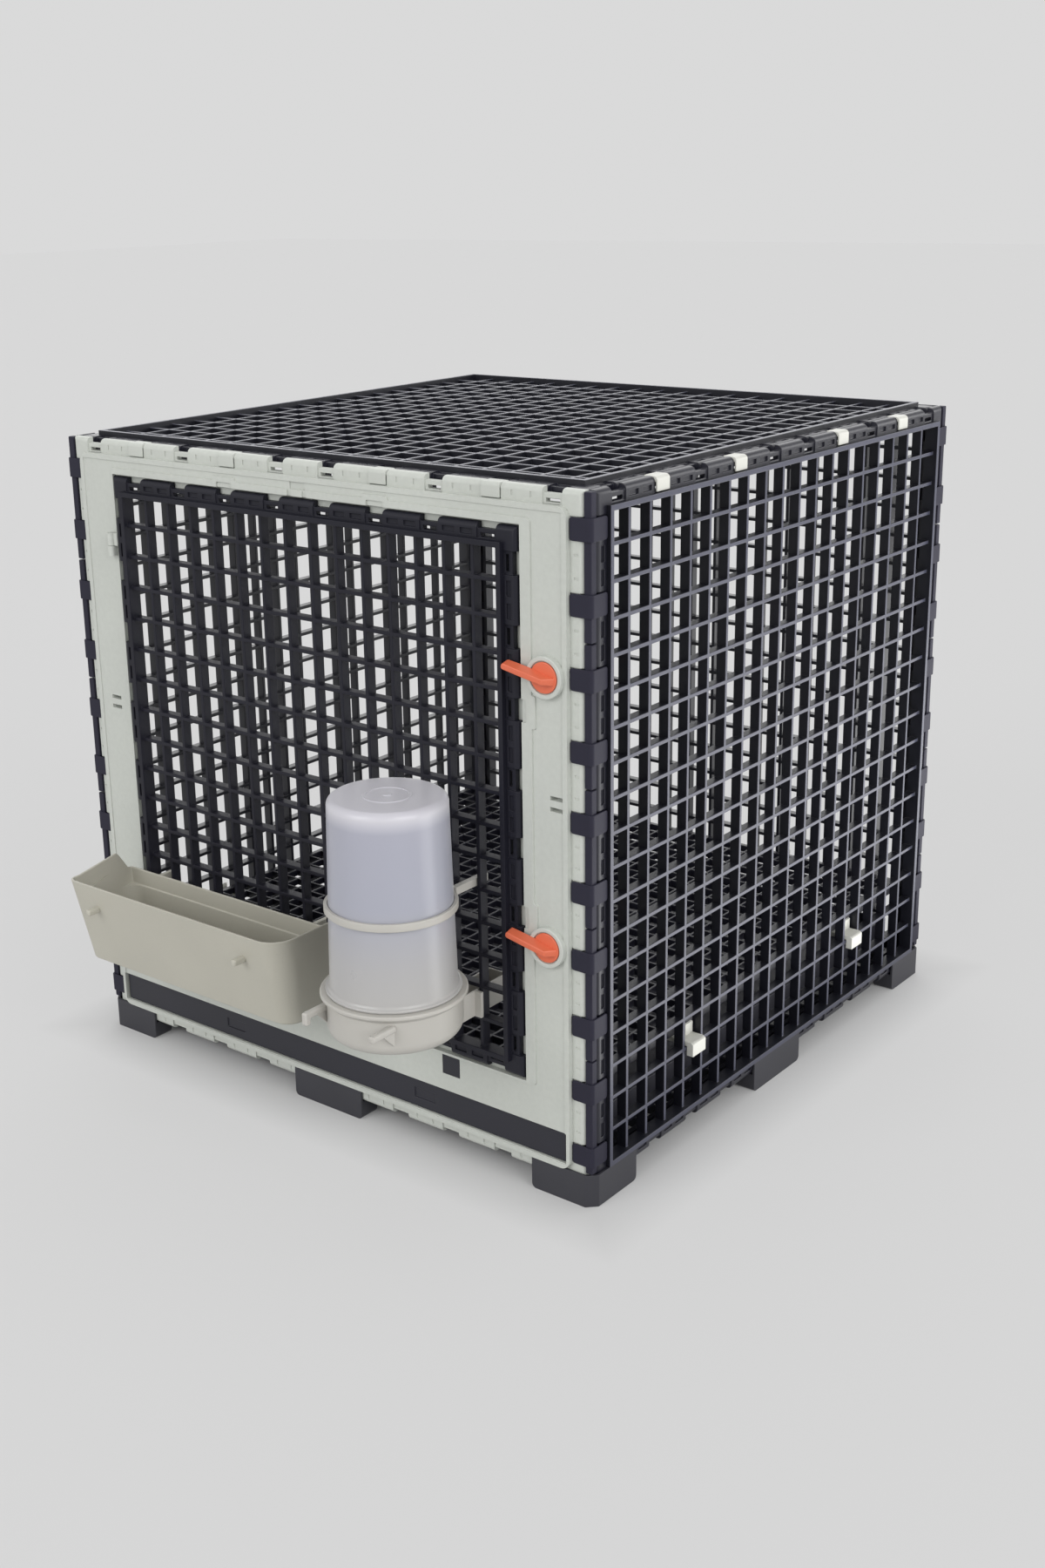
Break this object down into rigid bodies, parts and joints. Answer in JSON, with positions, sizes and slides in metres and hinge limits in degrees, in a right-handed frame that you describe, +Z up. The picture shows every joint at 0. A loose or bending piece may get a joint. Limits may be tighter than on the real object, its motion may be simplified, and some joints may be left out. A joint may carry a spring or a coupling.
{
  "type": "animal cage",
  "caption": "Small-animal cage of snap-together plastic grid panels on feet, with a hinged front door, turning latches, a droppings drawer, a hooked feeder and a bottle drinker",
  "frame": {"origin": "on the ground, under the middle of the outline of the cage with its feeder and drinker", "axes": "+X to the right as seen from the door side, +Y to the back, +Z up"},
  "size_m": [0.524, 0.644, 0.5185],
  "materials": {
    "dark_plastic": "satin",
    "pale_plastic": "satin",
    "white_plastic": "satin",
    "orange_plastic": "satin",
    "beige_plastic": "matte",
    "drinker_plastic": "satin",
    "bottle_plastic": "translucent satin"
  },
  "bodies": {
    "cage": {"back_floor_clips": "white_plastic", "back_foot": "dark_plastic", "back_left_connectors": "dark_plastic", "back_left_foot": "dark_plastic", "back_panel": "dark_plastic", "back_right_connectors": "dark_plastic", "back_right_foot": "dark_plastic", "bottom_panel": "dark_plastic", "floor_grid": "dark_plastic", "front_floor_lugs": "dark_plastic", "front_foot": "dark_plastic", "front_left_connectors": "dark_plastic", "front_left_foot": "dark_plastic", "front_panel": "pale_plastic", "front_right_connectors": "dark_plastic", "front_right_foot": "dark_plastic", "left_floor_clips": "white_plastic", "left_foot": "dark_plastic", "left_panel": "dark_plastic", "left_runner": "dark_plastic", "lower_hinge_pin": "dark_plastic", "right_floor_clips": "white_plastic", "right_foot": "dark_plastic", "right_panel": "dark_plastic", "right_runner": "dark_plastic", "top_back_clips": "white_plastic", "top_front_clips": "pale_plastic", "top_left_clips": "white_plastic", "top_panel": "dark_plastic", "top_right_clips": "white_plastic", "upper_hinge_pin": "dark_plastic"},
    "door": {"door_panel": "dark_plastic"},
    "upper_latch": {"upper_latch": "orange_plastic", "upper_latch_nut": "dark_plastic"},
    "lower_latch": {"lower_latch": "orange_plastic", "lower_latch_nut": "dark_plastic"},
    "drawer": {"drawer": "dark_plastic"},
    "feeder": {"feeder": "beige_plastic"},
    "drinker": {"drinker_dish": "drinker_plastic", "drinker_ring": "drinker_plastic"},
    "bottle": {"drinker_bottle": "bottle_plastic"}
  },
  "joints": [
    {"name": "door_hinge", "type": "hinge", "parent": "cage", "child": "door", "pos_m": [-0.205, -0.203, 0.288], "axis": [0, 0, -1], "range_deg": [0, 90]},
    {"name": "upper_latch_turn", "type": "hinge", "parent": "cage", "child": "upper_latch", "pos_m": [0.2223, -0.2025, 0.3895], "axis": [0, 1, 0], "range_deg": [0, 90]},
    {"name": "lower_latch_turn", "type": "hinge", "parent": "cage", "child": "lower_latch", "pos_m": [0.2223, -0.2025, 0.196], "axis": [0, 1, 0], "range_deg": [0, 90]},
    {"name": "drawer_slide", "type": "slide", "parent": "cage", "child": "drawer", "axis": [0, -1, 0], "range_m": [0, 0.42]},
    {"name": "feeder_lift", "type": "slide", "parent": "door", "child": "feeder", "axis": [0, 0, 1], "range_m": [0, 0.012]},
    {"name": "drinker_pull", "type": "slide", "parent": "door", "child": "drinker", "axis": [0, -1, 0], "range_m": [0, 0.045]},
    {"name": "bottle_turn", "type": "hinge", "parent": "drinker", "child": "bottle", "pos_m": [0.1325, -0.262, 0.16535], "axis": [0, 0, 1], "range_deg": [0, 60]}
  ]
}
